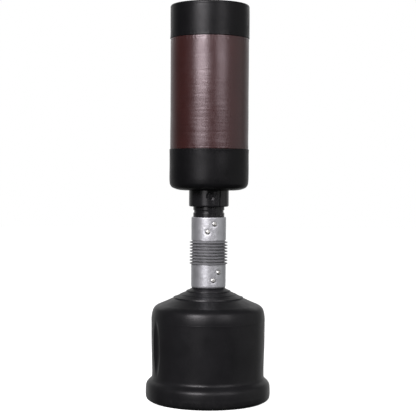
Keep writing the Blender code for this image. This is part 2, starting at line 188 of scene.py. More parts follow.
def flowing(points, step):
    """A smooth curve through the points (centripetal Catmull-Rom)."""
    p = [np.array(point, float) for point in points]
    p = [2 * p[0] - p[1]] + p + [2 * p[-1] - p[-2]]
    curve = []
    for i in range(1, len(p) - 2):
        knots = [0.0]
        for a, b in zip(p[i - 1:i + 2], p[i:i + 3]):
            knots.append(knots[-1] + math.sqrt(np.linalg.norm(b - a)))
        t0, t1, t2, t3 = knots
        count = max(1, math.ceil(np.linalg.norm(p[i + 1] - p[i]) / step))
        for t in t1 + (t2 - t1) * np.arange(count) / count:
            a1 = (t1 - t) / (t1 - t0) * p[i - 1] + (t - t0) / (t1 - t0) * p[i]
            a2 = (t2 - t) / (t2 - t1) * p[i] + (t - t1) / (t2 - t1) * p[i + 1]
            a3 = (t3 - t) / (t3 - t2) * p[i + 1] + (t - t2) / (t3 - t2) * p[i + 2]
            b1 = (t2 - t) / (t2 - t0) * a1 + (t - t0) / (t2 - t0) * a2
            b2 = (t3 - t) / (t3 - t1) * a2 + (t - t1) / (t3 - t1) * a3
            curve.append(tuple((t2 - t) / (t2 - t1) * b1 + (t - t1) / (t2 - t1) * b2))
    return curve + [tuple(points[-1])]


def even_angles(step):
    return np.arange(0, 360, step)


def denser(angles, middle, reach, step):
    """The list of angles with a finer spacing within reach of a direction."""
    kept = [a for a in angles if abs(turn_between(a, middle)) > reach]
    extra = middle + np.arange(-reach, reach + step / 2, step)
    return np.array(sorted(set(round(float(a) % 360, 4) for a in [*kept, *extra])))


def finish_mesh(name, build, sharp):
    """An object from a bmesh, with its faces pointing out and its corners kept sharp."""
    bmesh.ops.remove_doubles(build, verts=build.verts, dist=1e-6)
    bmesh.ops.recalc_face_normals(build, faces=build.faces)
    mesh = bpy.data.meshes.new(name)
    build.to_mesh(mesh)
    build.free()
    mesh.shade_smooth()
    mesh.set_sharp_from_angle(angle=math.radians(sharp))
    made = bpy.data.objects.new(name, mesh)
    bpy.context.scene.collection.objects.link(made)
    return made


def grid_mesh(name, points, wrap_rows, wrap_columns=True, sharp=SHARP):
    """A mesh from a (rows, columns, 3) array of points."""
    rows, columns = points.shape[:2]
    build = bmesh.new()
    verts = [build.verts.new(point) for point in points.reshape(-1, 3)]
    for i in range(rows if wrap_rows else rows - 1):
        for j in range(columns if wrap_columns else columns - 1):
            k, l = (i + 1) % rows, (j + 1) % columns
            corners = (verts[i * columns + j], verts[k * columns + j],
                       verts[k * columns + l], verts[i * columns + l])
            build.faces.new(corners)
    return finish_mesh(name, build, sharp)


def lathe(name, outline, angles, shape=None, closed=True, sharp=SHARP):
    """Turns an outline about Z. shape(R, Z, A) may move the points, with A in degrees."""
    r, z = np.array(outline, float).T
    angles = np.asarray(angles, float)
    R, A = np.meshgrid(r, angles, indexing="ij")
    Z = np.repeat(z[:, None], len(angles), 1)
    if shape:
        R, Z = shape(R, Z, A)
    turn = np.radians(A)
    points = np.stack([R * np.sin(turn), -R * np.cos(turn), Z], axis=2)
    return grid_mesh(name, points, wrap_rows=closed, sharp=sharp)


def unit(vectors):
    return vectors / np.linalg.norm(vectors, axis=1)[:, None]


def ring(point, radius, side, up, sides):
    """Points on a circle around a point, in the plane of two directions."""
    turn = np.arange(sides) * 2 * np.pi / sides
    return point + radius * (np.outer(np.cos(turn), side) + np.outer(np.sin(turn), up))


def swept(name, path, radius, sides):
    """A round tube along a list of points that starts level, with capped ends."""
    path = np.array(path, float)
    along = unit(np.gradient(path, axis=0))
    side = np.cross(along[0], (0.0, 0.0, 1.0))
    rings = []
    for point, direction in zip(path, along):
        side = side - (side @ direction) * direction
        side /= np.linalg.norm(side)
        rings.append(ring(point, radius, side, np.cross(direction, side), sides))
    rings.insert(0, np.repeat(path[:1], sides, 0))
    rings.append(np.repeat(path[-1:], sides, 0))
    return grid_mesh(name, np.array(rings), wrap_rows=False)


def placed_radially(obj, angle, height, radius):
    """Turns a piece so that its +Z points away from the neck's axis, and puts it at a radius."""
    obj.data.transform(
        Matrix.Translation((0, 0, height))
        @ Matrix.Rotation(math.radians(angle - 90), 4, "Z")
        @ Matrix.Translation((radius, 0, 0))
        @ Matrix.Rotation(math.pi / 2, 4, "Y")
    )
    return obj


def cut(target, cutter):
    """Cuts a piece with an exact Boolean, and removes the cutter."""
    boolean = target.modifiers.new("cut", "BOOLEAN")
    boolean.operation = "DIFFERENCE"
    boolean.solver = "EXACT"
    boolean.object = cutter
    graph = bpy.context.evaluated_depsgraph_get()
    mesh = bpy.data.meshes.new_from_object(target.evaluated_get(graph))
    target.modifiers.clear()
    target.data = mesh
    bpy.data.objects.remove(cutter)
    mesh.set_sharp_from_angle(angle=math.radians(SHARP))


def dressed(obj, material, body=None, replaced=()):
    """Gives a piece its material, its body and the nodes that it stands for."""
    obj.data.materials.clear()
    obj.data.materials.append(material)
    if body:
        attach(obj, body)
    if replaced:
        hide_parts(*replaced)
    return obj


# ---------------- materials

class NodeTree:
    """Short ways to add shader nodes to a tree. Scales are per metre."""

    def __init__(self, tree):
        self.nodes, self.links = tree.nodes, tree.links

    def feed(self, socket, value):
        """Links another node's output, and sets anything else on the socket itself."""
        if isinstance(value, bpy.types.NodeSocket):
            self.links.new(value, socket)
        else:
            socket.default_value = value

    def add(self, kind, feeds, **settings):
        """A new node, with its settings made and its inputs fed."""
        node = self.nodes.new("ShaderNode" + kind)
        for setting, value in settings.items():
            setattr(node, setting, value)
        for socket, value in feeds.items():
            self.feed(node.inputs[socket], value)
        return node

    def ranged(self, value, low, high, start=0.3, end=0.7):
        """A value mapped from start..end to low..high."""
        feeds = {"Value": value, "From Min": start, "From Max": end, "To Min": low, "To Max": high}
        return self.add("MapRange", feeds).outputs["Result"]

    def calculated(self, operation, *values):
        return self.add("Math", dict(enumerate(values)), operation=operation).outputs["Value"]


class Look(NodeTree):
    """A new material around one Principled shader, in the object's own coordinates."""

    def __init__(self, name):
        self.material = bpy.data.materials.new(name)
        self.material.use_nodes = True
        super().__init__(self.material.node_tree)
        self.shader = self.nodes["Principled BSDF"]
        self.place = self.add("TexCoord", {}).outputs["Object"]

    def noise(self, scale, detail=3.0, stretch=None):
        place = self.place
        if stretch:
            place = self.add("Mapping", {"Vector": place, "Scale": stretch}).outputs["Vector"]
        feeds = {"Vector": place, "Scale": scale, "Detail": detail}
        return self.add("TexNoise", feeds).outputs["Fac"]

    def cells(self, scale, feature="F1"):
        feeds = {"Vector": self.place, "Scale": scale}
        return self.add("TexVoronoi", feeds, feature=feature).outputs["Distance"]

    def blended(self, factor, first, second):
        """A colour between two, each a colour or a socket."""
        first, second = ((*c, 1) if isinstance(c, tuple) else c for c in (first, second))
        return self.add("Mix", {"Factor": factor, 6: first, 7: second}, data_type="RGBA").outputs[2]

    def patchy(self, pattern, dark, light):
        return self.blended(self.ranged(pattern, 0, 1), dark, light)

    def surface(self, **values):
        """Feeds the shader's sockets, whose names are written with underscores."""
        for name, value in values.items():
            self.feed(self.shader.inputs[name.replace("_", " ")], value)

    def bumped(self, *layers):
        """A chain of bumps: (height socket, strength, distance in metres)."""
        feeds = {}
        for height, strength, distance in layers:
            feeds.update(Height=height, Strength=strength, Distance=distance)
            feeds["Normal"] = self.add("Bump", feeds).outputs["Normal"]
        self.surface(Normal=feeds["Normal"])


def mottled(name, dark, light, rough, colour_scale, grain, **sockets):
    """A plain finish: two close colours, uneven gloss and a fine grain.

    rough is (lowest, highest), and grain is (scale, strength, distance in metres).
    """
    look = Look(name)
    look.surface(Base_Color=look.patchy(look.noise(colour_scale), dark, light),
                 Roughness=look.ranged(look.noise(colour_scale * 2.3, 4), *rough), **sockets)
    look.bumped((look.noise(grain[0], 2), grain[1], grain[2]))
    return look.material


def blow_moulded_plastic():
    """Black polyethylene: slightly uneven gloss, a faint pebbled skin and dust near the floor."""
    look = Look("blow_moulded_plastic")
    black = look.patchy(look.noise(9), (0.0075, 0.0075, 0.0082), (0.0110, 0.0110, 0.0120))
    height = look.add("SeparateXYZ", {"Vector": look.place}).outputs["Z"]
    low_down = look.ranged(height, 1, 0, 0.0, 0.07)
    dust = look.ranged(look.noise(55, 6), 0, 0.22, 0.5, 0.75)
    dusty = look.calculated("MULTIPLY", low_down, dust)
    look.surface(Base_Color=look.blended(dusty, black, (0.045, 0.043, 0.040)),
                 Roughness=look.ranged(look.noise(24, 5), 0.31, 0.41), Specular_IOR_Level=0.22)
    swirl, pebble = look.noise(60, 2, (1, 1, 0.35)), look.cells(520)
    look.bumped((swirl, 0.04, 0.0010), (pebble, 0.06, 0.00010))
    return look.material


def leather(name, dark, light, rough, crease, coat, level, tint=(1, 1, 1)):
    """Coated fabric with a leather grain: fine cells with painted shade in their valleys, soft
    creases and uneven gloss.
    """
    look = Look(name)
    tone = look.patchy(look.noise(14, 5), dark, light)
    edges = look.cells(620, "DISTANCE_TO_EDGE")
    # painted shade: the colour darkens along the cell edges, where the grain's bump lies deepest
    deep = tuple(0.72 * c for c in dark)
    look.surface(Base_Color=look.blended(look.ranged(edges, 0, 1, 0.0, 0.22), deep, tone),
                 Roughness=look.ranged(look.noise(38, 5), *rough), Coat_Weight=coat,
                 Coat_Roughness=0.30, Specular_IOR_Level=level, Specular_Tint=(*tint, 1))
    creases, pores = look.noise(46, 4, (0.6, 0.6, 1.9)), look.noise(1500, 2)
    look.bumped((creases, crease, 0.0012), (edges, 0.16, 0.00025), (pores, 0.06, 0.0001))
    return look.material


def silver_paint():
    """Silver paint on a steel tube: metallic flake, runs and the marks of turning."""
    look = Look("silver_paint")
    dark, light = (0.475, 0.485, 0.501), (0.560, 0.570, 0.590)
    look.surface(Base_Color=look.patchy(look.noise(30, 4), dark, light),
                 Roughness=look.ranged(look.noise(75, 5), 0.42, 0.50), Metallic=0.8)
    runs, turned, flake = look.noise(70, 3), look.noise(26, 3, (1, 1, 16)), look.cells(1800)
    look.bumped((runs, 0.09, 0.0012), (turned, 0.08, 0.0004), (flake, 0.03, 0.0001))
    return look.material


def plated_steel(name, dark, light, rough):
    return mottled(name, dark, light, rough, 120, (800, 0.1, 0.0001), Metallic=1.0)


def thread_material(name, colour):
    """Twisted sewing thread."""
    look = Look(name)
    twist = look.noise(1400, 2)
    light = tuple(1.6 * c for c in colour)
    look.surface(Base_Color=look.blended(twist, colour, light),
                 Roughness=look.ranged(twist, 0.5, 0.7))
    look.bumped((twist, 0.4, 0.0002))
    return look.material


BASE_PLASTIC = blow_moulded_plastic()
POST_PLASTIC = mottled("moulded_plastic", (0.0065, 0.0065, 0.0072), (0.0100, 0.0100, 0.0110),
                       (0.20, 0.28), 40, (900, 0.12, 0.0001), Specular_IOR_Level=0.4)
BLACK_VINYL = leather("black_vinyl", (0.0040, 0.0040, 0.0045), (0.0065, 0.0065, 0.0072),
                      (0.34, 0.42), crease=0.20, coat=0.0, level=0.17)
BROWN_VINYL = leather("brown_vinyl", (0.0300, 0.0070, 0.0060), (0.0380, 0.0092, 0.0079),
                      (0.30, 0.37), crease=0.14, coat=0.3, level=0.72, tint=(1.0, 0.86, 0.90))
SILVER = silver_paint()
BOLT = plated_steel("bright_zinc", (0.56, 0.56, 0.53), (0.70, 0.70, 0.68), (0.34, 0.48))
NUT = plated_steel("dull_zinc", (0.35, 0.35, 0.34), (0.48, 0.48, 0.46), (0.30, 0.45))
SPRING = plated_steel("spring_steel", (0.10, 0.10, 0.11), (0.17, 0.17, 0.18), (0.32, 0.48))
CUP = plated_steel("cup_steel", (0.24, 0.24, 0.25), (0.34, 0.34, 0.35), (0.32, 0.48))
GREY_RUBBER = mottled("grey_rubber", (0.160, 0.163, 0.169), (0.210, 0.213, 0.221),
                      (0.30, 0.40), 30, (700, 0.12, 0.0001))
SEAL_RUBBER = mottled("seal_rubber", (0.012, 0.012, 0.012), (0.020, 0.020, 0.020),
                      (0.6, 0.8), 60, (900, 0.2, 0.0001))
CAP_PLASTIC = mottled("cap_plastic", (0.009, 0.009, 0.010), (0.014, 0.014, 0.015),
                      (0.50, 0.62), 50, (900, 0.2, 0.0001), Specular_IOR_Level=0.25)
LID_CLOTH = mottled("lid_cloth", (0.0075, 0.0075, 0.0082), (0.0120, 0.0120, 0.0130),
                    (0.85, 0.95), 90, (1200, 0.4, 0.0003), Specular_IOR_Level=0.05)
TUBE_PLASTIC = mottled("tube_plastic", (0.32, 0.25, 0.17), (0.42, 0.33, 0.23),
                       (0.5, 0.65), 30, (500, 0.2, 0.0002))
BOARD = mottled("board", (0.26, 0.17, 0.09), (0.42, 0.30, 0.17),
                (0.7, 0.85), 160, (900, 0.4, 0.0004))
FOAM = mottled("foam", (0.36, 0.36, 0.38), (0.48, 0.48, 0.50),
               (0.9, 1.0), 250, (1300, 0.6, 0.0006))
WATER = mottled("water", (0.16, 0.24, 0.26), (0.20, 0.30, 0.32),
                (0.04, 0.08), 10, (40, 0.1, 0.0005), Transmission_Weight=0.9, IOR=1.333)
BROWN_THREAD = thread_material("brown_thread", (0.030, 0.013, 0.011))


# ---------------- base

DRUM_TOP_R = BASE_R - 0.0213
DRUM_FOOT_R = BASE_R - 0.0245
CONE_TOP = 0.4370
CONE_LEDGES = ((0.087, 0.0022), (0.112, 0.0009), (0.138, 0.0028))  # (radius, height)
PARTING_LINE = 0.3135
WALL = 0.005
HANDHOLDS = (-64, 116)  # degrees
HANDHOLD_Z = 0.205
HANDHOLD_HALF_HEIGHT, HANDHOLD_HALF_WIDTH, HANDHOLD_DEPTH = 0.101, 0.028, 0.010


def arc_radius(half_length, depth):
    """Radius of an arc from its half length and its depth."""
    return (half_length**2 + depth**2) / (2 * depth)


def handhold_radius(R, Z, A, middle, margin):
    """Where a spindle standing in the drum's wall presses it inwards: the wall's new radius."""
    wall = (DRUM_TOP_R + DRUM_FOOT_R) / 2
    waist = arc_radius(HANDHOLD_HALF_WIDTH, HANDHOLD_DEPTH)
    axis = wall + waist - HANDHOLD_DEPTH
    arc = arc_radius(HANDHOLD_HALF_HEIGHT, HANDHOLD_DEPTH)
    height = np.clip(np.abs(Z - HANDHOLD_Z), 0, arc)
    spindle = np.clip(waist + margin - arc + np.sqrt(arc**2 - height**2), 0, None)
    turn = np.radians(np.clip(turn_between(A, middle), -60, 60))
    inside = spindle**2 - (axis * np.sin(turn)) ** 2
    pressed = np.where(inside > 0, axis * np.cos(turn) - np.sqrt(np.clip(inside, 0, None)), axis)
    edge = 0.0035  # the rounding where the hollow meets the drum
    mixed = np.clip(0.5 + 0.5 * (pressed - R) / edge, 0, 1)
    return pressed * (1 - mixed) + R * mixed - edge * mixed * (1 - mixed)


def base_shape(margin):
    """The handholds, and on the outside (margin 0) also the cone's ledges and the parting line."""
    ripple = waves(11, 12, 5, 0.11)
    drum_foot, drum_top = (0.088, 0.105), (0.312, 0.330)  # the heights where the sides blend in
    cone_foot, neck_side, drum_side = 0.36, 0.068, 0.2
    ledge_reach, ledge_edge = 0.0080, 0.0005
    line_rise, line_width = 0.00035, 0.0010

    def shape(R, Z, A):
        on_drum = smoothstep(*drum_foot, Z) * (1 - smoothstep(*drum_top, Z)) * (R > 0.18)
        for middle in HANDHOLDS:
            R = R + on_drum * (handhold_radius(R, Z, A, middle, margin) - R)
        if margin == 0:
            for radius, rise in CONE_LEDGES:
                past = R - radius
                shelf = rise * np.exp(-np.abs(past) / ledge_reach) * np.where(past < 0, 1.0, -0.6)
                shelf = shelf * np.clip(np.abs(past) / ledge_edge, 0, 1)
                Z = Z + np.where((Z > cone_foot) & (R > neck_side), shelf, 0)
            # moulding never comes out quite true
            R = R + (0.00015 * ripple(A, Z) - 0.0003) * smoothstep(0.10, 0.14, R) * (Z > 0.02)
            R = R + line_rise * bell(Z - PARTING_LINE, line_width) * (R > drum_side)
        return R, Z

    return shape


def finer_where(skirt):
    """Adds rows on the cone and at the parting line, where the detail is fine."""
    cone_foot, fine = 0.375, 0.0009
    points = []
    for a, b in zip(skirt, skirt[1:]):
        detailed = a[1] > cone_foot or abs(a[1] - PARTING_LINE) < 0.006
        points += refined([a, b], fine if detailed else 1)[:-1]
    return points + skirt[-1:]


def base_outline():
    """The tank's outside as (radius, height), in three parts from the neck's top downwards."""
    socket_r, neck_r, socket_floor, bevel = 0.0605, 0.0654, 0.452, 0.001
    floor_edge, dish_height = BASE_R - 0.0165, 0.006
    cone = [(0.0672, CONE_TOP), (0.0830, 0.4285), (0.0986, 0.4203), (0.1301, 0.4045),
            (0.1616, 0.3888)]
    shoulder = [(0.1850, 0.3785), (0.2000, 0.3722), (0.2110, 0.3640), (0.2165, 0.3560),
                (0.2205, 0.3430)]
    drum = [(DRUM_TOP_R, 0.3240), (DRUM_TOP_R, 0.3000), (DRUM_TOP_R - 0.0004, 0.2310),
            (DRUM_FOOT_R + 0.0008, 0.1526), (DRUM_FOOT_R, 0.1054)]
    foot = [(DRUM_FOOT_R + 0.0006, 0.0925), (BASE_R - 0.0205, 0.0850), (BASE_R - 0.0135, 0.0785),
            (BASE_R - 0.0070, 0.0720)]
    rim = [(BASE_R - 0.0022, 0.0630), (BASE_R - 0.0004, 0.0500), (BASE_R, 0.0380),
           (BASE_R, 0.0240), (BASE_R - 0.0040, 0.0085), (floor_edge, 0.0)]
    profile = cone + shoulder + drum + foot + rim
    neck = [(0, socket_floor), (socket_r, socket_floor), (socket_r, NECK_TOP - bevel),
            (socket_r + bevel, NECK_TOP), (neck_r - bevel, NECK_TOP), (neck_r, NECK_TOP - bevel),
            (neck_r, CONE_TOP)]
    underside = rounded([(floor_edge, 0.0, 0), (0.1250, 0.0, 0.003), (0.1120, dish_height, 0.003),
                         (0.0, dish_height, 0)])
    return refined(neck, 0.02), profile, refined(underside, 0.02)


def at_filler(piece):
    """Moves a piece from the neck's axis to the filler's."""
    piece.data.transform(Matrix.Translation((0, FILLER.y, 0)))
    return piece


def make_base():
    neck, profile, underside = base_outline()
    skirt = finer_where(flowing(profile, 0.0035))
    angles = even_angles(2.25)
    for middle in HANDHOLDS:
        angles = denser(angles, middle, 11, 0.6)
    shell = lathe("base_shell", neck + skirt[:-1] + underside, angles, base_shape(0.0),
                  closed=False)
    inside = [(0, CONE_TOP - 0.003), (0.055, CONE_TOP - 0.003)]
    for r, z in flowing(profile, 0.012)[2:-1]:
        on_cone = z > 0.34
        inside.append((r - WALL * 0.75 if on_cone else r - WALL, max(z - WALL * 0.8, 0.009)))
    inside.append((0, 0.012))
    cut(shell, lathe("hollow", inside, angles, base_shape(WALL), closed=False))
    cutter_r, above, under = 0.0192, 0.45, 0.35
    bore = [(0, above), (cutter_r, above), (cutter_r, under), (0, under)]
    cut(shell, at_filler(lathe("bore", bore, even_angles(9), closed=False)))
    dressed(shell, BASE_PLASTIC, "base", ["base_tank"])

    thread_pitch, thread_depth = 0.004, 0.0007
    spout_top, spout_foot, spout_r, bore_r = FILLER.z, 0.378, 0.0240, 0.0190

    def threaded(R, Z, A):
        phase = (Z / thread_pitch + A / 360) * 2 * np.pi
        thread = (R > 0.0215) * smoothstep(spout_top, spout_top - 0.002, Z)
        thread = thread * smoothstep(0.405, 0.408, Z)
        return R + thread_depth * np.clip(np.sin(phase), 0, 1) * thread, Z

    outline = rounded([(spout_r, spout_top, 0.0008), (spout_r, spout_foot, 0),
                       (bore_r, spout_foot, 0), (bore_r, spout_top, 0.0008)], 4)
    spout = lathe("filler_spout", refined(outline, 0.0006, True), even_angles(6), threaded)
    dressed(at_filler(spout), BASE_PLASTIC, "base")


def make_fill_cap():
    """A screw cap with grip ribs and a dished top."""
    low, high = CAP
    bore, roof, dish = 0.0252, high - 0.0044, high - 0.0016
    ribs, rib_depth = 30, 0.0011

    def ribbed(R, Z, A):
        outside = smoothstep(CAP_R - 0.0014, CAP_R - 0.0002, R) * smoothstep(low, low + 0.002, Z)
        outside = outside * smoothstep(high, high - 0.003, Z)
        return R - rib_depth * outside * (0.5 - 0.5 * np.cos(np.radians(A) * ribs)) ** 2, Z

    outline = rounded([(0, dish, 0), (0.017, dish, 0.001), (0.0185, high, 0.001),
                       (CAP_R, high, 0.0020), (CAP_R, low, 0.0006), (bore, low, 0.0006),
                       (bore, roof, 0), (0, roof, 0)], 5)
    cap = lathe("fill_cap_body", refined(outline, 0.0012), even_angles(1.5), ribbed, closed=False)
    dressed(at_filler(cap), CAP_PLASTIC, "fill_cap", ["fill_cap"])


# ---------------- sprung neck

def bolt_places(prefix):
    """(angle, height) of each bolt on a sleeve, from the frame."""
    places = []
    for number in range(1, 5):
        low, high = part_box(f"{prefix}_bolt_{number}")
        middle = (low + high) / 2
        places.append((math.degrees(math.atan2(middle.x, -middle.y)), middle.z))
    return places


def sleeve_shape(bolts, seed):
    """Dimples where the bolts pull the tube in, and the lumps of a painted tube."""
    lumps = waves(seed, 30, 26, 0.012)
    spatter = waves(seed + 1, 40, 60, 0.006)
    dimple_depth, dimple_floor, dimple_edge = 0.0008, 0.0085, 0.0180

    def shape(R, Z, A):
        moved = 0.00008 * lumps(A, Z)
        for angle, height in bolts:
            away = np.hypot(np.radians(turn_between(A, angle)) * SLEEVE_R, Z - height)
            moved = moved - dimple_depth * (1 - smoothstep(dimple_floor, dimple_edge, away))
            beside = bell(away - 0.021, 0.008)
            moved = moved + 0.00022 * beside * np.clip(spatter(A, Z) - 0.4, 0, 1.2)
        return R + moved * (R > SLEEVE_R - 0.004), Z

    return shape


def make_sleeves():
    wall, r = 0.002, SLEEVE_R
    low, high = LOWER_SLEEVE
    swage = [(r, low + 0.0070), (r - 0.0002, low + 0.0045), (r - 0.0009, low + 0.0020),
             (r - 0.0020, low)]
    lower = [(r - 0.0008, high), (r, high - 0.0008)] + flowing(swage, 0.0008)
    lower += [(r - wall - 0.0002, low + 0.0004), (r - wall, low + 0.006), (r - wall, high)]
    angles = even_angles(1.25)
    piece = lathe("lower_sleeve_tube", refined(lower, 0.0013, True), angles,
                  sleeve_shape(bolt_places("lower"), 21))
    dressed(piece, SILVER, "base", ["lower_sleeve"])

    low, high = UPPER_SLEEVE
    upper = rounded([(r - 0.0040, high, 0.0004), (r - 0.0022, high, 0.0006),
                     (r, high - 0.0032, 0.0012), (r, low, 0.0008), (r - wall, low, 0),
                     (r - wall, high - 0.004, 0), (r - 0.0040, high - 0.0030, 0)], 4)
    dimples = sleeve_shape(bolt_places("upper"), 31)
    turned_lines, line_depth, line_width = (0.0085, 0.0125, 0.0175), 0.00022, 0.0007

    def ringed(R, Z, A):
        R, Z = dimples(R, Z, A)
        for below in turned_lines:
            line = line_depth * bell(Z - high + below, line_width)
            R = R - line * (R > SLEEVE_R - 0.0015)
        return R, Z

    piece = lathe("upper_sleeve_tube", refined(upper, 0.0013, True), angles, ringed)
    dressed(piece, SILVER, "head", ["upper_sleeve"])


def make_bolt(name, angle, height):
    """A truss-head bolt with a shallow hexagon socket, seated in its dimple."""
    head, shank, length, bevel = 0.0098, 0.0038, 0.0155, 0.0008
    socket = [(0, 0.0024), (0.0030, 0.0024), (0.0034, 0.0028), (0.0036, 0.0046), (0.0039, 0.0049)]
    dome = flowing([(0.0042, 0.0048), (0.0062, 0.0042), (0.0080, 0.0030), (0.0092, 0.0016),
                    (head, 0.0006)], 0.0005)
    outline = socket + dome + [(head, 0), (shank, 0), (shank, -length),
                               (shank - bevel, -length - bevel), (0, -length - bevel)]

    def hexagonal(R, Z, A):
        in_socket = (R > 0) & (R < 0.0038) & (Z > 0.002)
        corner = np.cos(np.radians((A + 30) % 60 - 30))
        return np.where(in_socket, R * 0.92 / corner, R), Z

    bolt = lathe(name, outline, even_angles(7.5), hexagonal, closed=False)
    return placed_radially(bolt, angle, height, SLEEVE_R - 0.0012)


def make_bolts():
    for prefix, body in (("lower", "base"), ("upper", "head")):
        for number, (angle, height) in enumerate(bolt_places(prefix), 1):
            bolt = make_bolt(f"{prefix}_button_bolt_{number}", angle, height)
            dressed(bolt, BOLT, body, [f"{prefix}_bolt_{number}"])


def make_bellows():
    """The ribbed gaiter, in two halves that meet in the valley at the middle."""
    count, pitch, top_fin, fin_foot = 8, 0.0118, 0.6188, 0.0047
    valley, wall, cuff = 0.0640, 0.0016, SLEEVE_R - 0.0036
    top, bottom = UPPER_SLEEVE[0], LOWER_SLEEVE[1]
    tip = FIN_R

    def fins(numbers, start, end):
        points = [start]
        for number in numbers:
            z = top_fin - number * pitch
            slope = [(valley + 0.0006, 0.0040), (tip - 0.0020, 0.0017), (tip - 0.0005, 0.0010),
                     (tip, 0.0003)]
            points += [(r, z + up) for r, up in slope] + [(r, z - up) for r, up in slope[::-1]]
            if number != numbers[-1]:
                points += [(valley, z - fin_foot), (valley, z - pitch + fin_foot)]
        return points + [end]

    def skin(outside):
        inside = [(r - wall, z) for r, z in reversed(outside)]
        return refined(outside + inside, 0.002, True)

    half = count // 2
    meeting = top_fin - (half - 0.5) * pitch
    upper = [(cuff, top + 0.009)] + fins(range(half), (cuff, top - 0.0006), (valley, meeting))
    lower = fins(range(half, count), (valley, meeting), (cuff, bottom + 0.0006))
    lower += [(cuff, bottom - 0.009)]
    ripple = waves(41, 8, 6, 0.03)

    def shape(R, Z, A):
        return R + 0.00012 * ripple(A, Z) * (R > valley + 0.001), Z

    for name, outside in (("bellows_upper", upper), ("bellows_lower", lower)):
        piece = lathe(name, skin(outside), even_angles(2), shape, sharp=50)
        dressed(piece, GREY_RUBBER, replaced=["bellows"])
    return meeting, bottom, top


def make_spring():
    """The coil spring, in two halves that meet at the pivot's height."""
    low, high = span_of("coil_spring")
    wire = 0.005
    coil_r = radius_of("coil_spring") - wire
    turns = 7
    start, end = low + wire, high - wire
    dead = 2 * wire + 0.0006
    live = (end - start - 2 * dead) / (turns - 2)

    def height(turn):
        active = min(max(turn - 1, 0), turns - 2)
        return start + dead * (turn - active) + live * active

    for name, first, last in (("spring_lower", 0, turns / 2), ("spring_upper", turns / 2, turns)):
        path = [(coil_r * math.cos(2 * math.pi * t), coil_r * math.sin(2 * math.pi * t), height(t))
                for t in np.linspace(first, last, 169)]
        dressed(swept(name, path, wire, 14), SPRING, replaced=["coil_spring"])


def bend_neck(meeting, bottom, top):
    """Bakes the placement of the gaiter's and the spring's halves into their meshes."""

    objects = bpy.data.objects
    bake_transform(objects["bellows_lower"])
    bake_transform(objects["bellows_upper"])
    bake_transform(objects["spring_lower"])
    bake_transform(objects["spring_upper"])


# ---------------- post and collar

def box_distance(u, v, u_low, u_high, v_low, v_high, corner):
    """Distance from a rounded rectangle's edge, below zero inside it."""
    du = np.abs(u - (u_low + u_high) / 2) - (u_high - u_low) / 2 + corner
    dv = np.abs(v - (v_low + v_high) / 2) - (v_high - v_low) / 2 + corner
    outside = np.hypot(np.clip(du, 0, None), np.clip(dv, 0, None))
    return outside + np.clip(np.maximum(du, dv), None, 0) - corner


def make_post():
    """The post and its two-level bayonet track, whose lower groove shows under the collar."""
    r, wide_r, wall = radius_of("core_tube") - 0.0052, 0.0654, 0.0053
    low, high = POST
    shoulder = UPPER_SLEEVE[1] - 0.002
    depth, slot, slot_bottom, track_end = 0.0032, (34.0, 51.2), 0.724, 178.0
    levels, half_groove, groove_start = (0.740, TRACK), 0.005, slot[0] + 8
    slot_edge, groove_edge = 0.0005, 0.0013

    def tracked(R, Z, A):
        pressed = np.zeros_like(R)
        for half in (0, 180):
            middle = sum(slot) / 2 + half
            arc = np.radians(turn_between(A, middle)) * r
            half_width = math.radians(slot[1] - slot[0]) / 2 * r
            gap = box_distance(arc, Z, -half_width, half_width, slot_bottom, high + 0.05, 0.0012)
            pressed = np.maximum(pressed, smoothstep(slot_edge, -slot_edge, gap))
            arc = np.radians(turn_between(A, (groove_start + track_end) / 2 + half)) * r
            half_length = math.radians(track_end - groove_start) / 2 * r
            for level in levels:
                gap = box_distance(arc, Z, -half_length, half_length,
                                   level - half_groove, level + half_groove, 0.0040)
                pressed = np.maximum(pressed, smoothstep(groove_edge, -groove_edge, gap))
        return R - depth * pressed * (np.abs(R - r) < 0.0006), Z

    detail_top = 0.8001
    outside = rounded([(wide_r, low, 0), (wide_r, shoulder, 0.0010),
                       (r, shoulder + 0.0006, 0.0008), (r, 0.8000, 0), (r, high, 0.0020)], 4)
    fine = refined([p for p in outside if p[1] <= detail_top], 0.0008)
    coarse = refined([fine[-1]] + [p for p in outside if p[1] > detail_top], 0.012)[1:]
    wide_bore = wide_r - 0.0049
    inside = [(r - wall, high), (r - wall, shoulder), (wide_bore, shoulder - 0.006),
              (wide_bore, low)]
    post = lathe("post_tube", fine + coarse + inside, even_angles(1.0), tracked)
    dressed(post, POST_PLASTIC, "head", ["post"])


def turn_arrow(u, v):
    """Distance from a round arrow's stroke, below zero inside it. It is 25 mm across."""
    size, stroke = 0.0108, 0.0036
    angle = np.degrees(np.arctan2(v, u))
    gap_middle, gap_half = 35.0, 38.0
    off_gap = np.abs(turn_between(angle, gap_middle))
    arc = np.abs(np.hypot(u, v) - size) - stroke / 2
    arc = np.where(off_gap > gap_half, arc, 0.01)
    # the head: a triangle at the arc's end, pointing along it
    head_half, head_taper, head_start = 0.0046, 0.62, -0.0003
    end = math.radians(gap_middle + gap_half)
    along_u, along_v = math.sin(end), -math.cos(end)
    x = u - size * math.cos(end)
    y = v - size * math.sin(end)
    forward = x * along_u + y * along_v
    sideways = np.abs(x * along_v - y * along_u)
    head = np.maximum(sideways - (head_half - forward * head_taper), head_start - forward)
    return np.minimum(arc, head)


